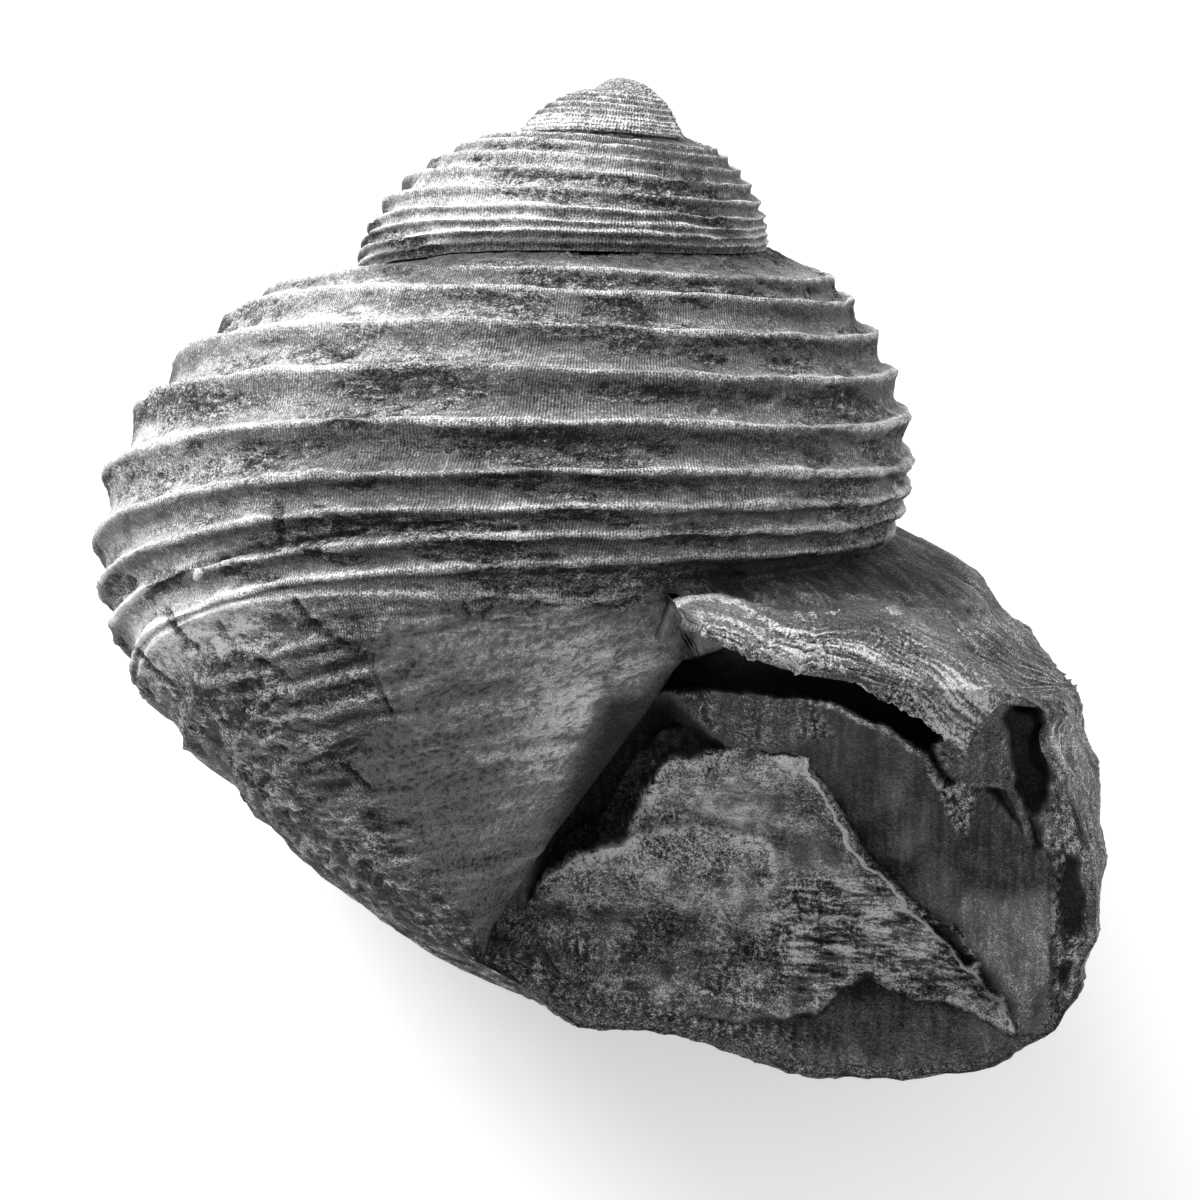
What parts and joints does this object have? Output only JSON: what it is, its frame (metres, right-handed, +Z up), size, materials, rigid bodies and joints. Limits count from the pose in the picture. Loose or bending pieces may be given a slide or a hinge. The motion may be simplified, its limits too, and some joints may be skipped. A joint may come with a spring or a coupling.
{
  "type": "fossil gastropod shell",
  "caption": "Low-spired coiled fossil snail shell with strong spiral cords, lying on its back with the broken mouth up and a plug of rock in it.",
  "frame": {"origin": "middle of the shell seen from above, on the surface it rests on", "axes": "+Y runs along the spire towards the apex, leaning about 10 degrees to +X; +Z points up out of the mouth; +X points to the outer lip's side"},
  "size_m": [0.0162, 0.0158, 0.0152],
  "materials": {
    "shell_stone": "matte mineral, bright on the ridge tops",
    "fill_stone": "rough, granular"
  },
  "bodies": {
    "root": {"shell": "shell_stone", "sediment_fill": "fill_stone"}
  },
  "joints": []
}
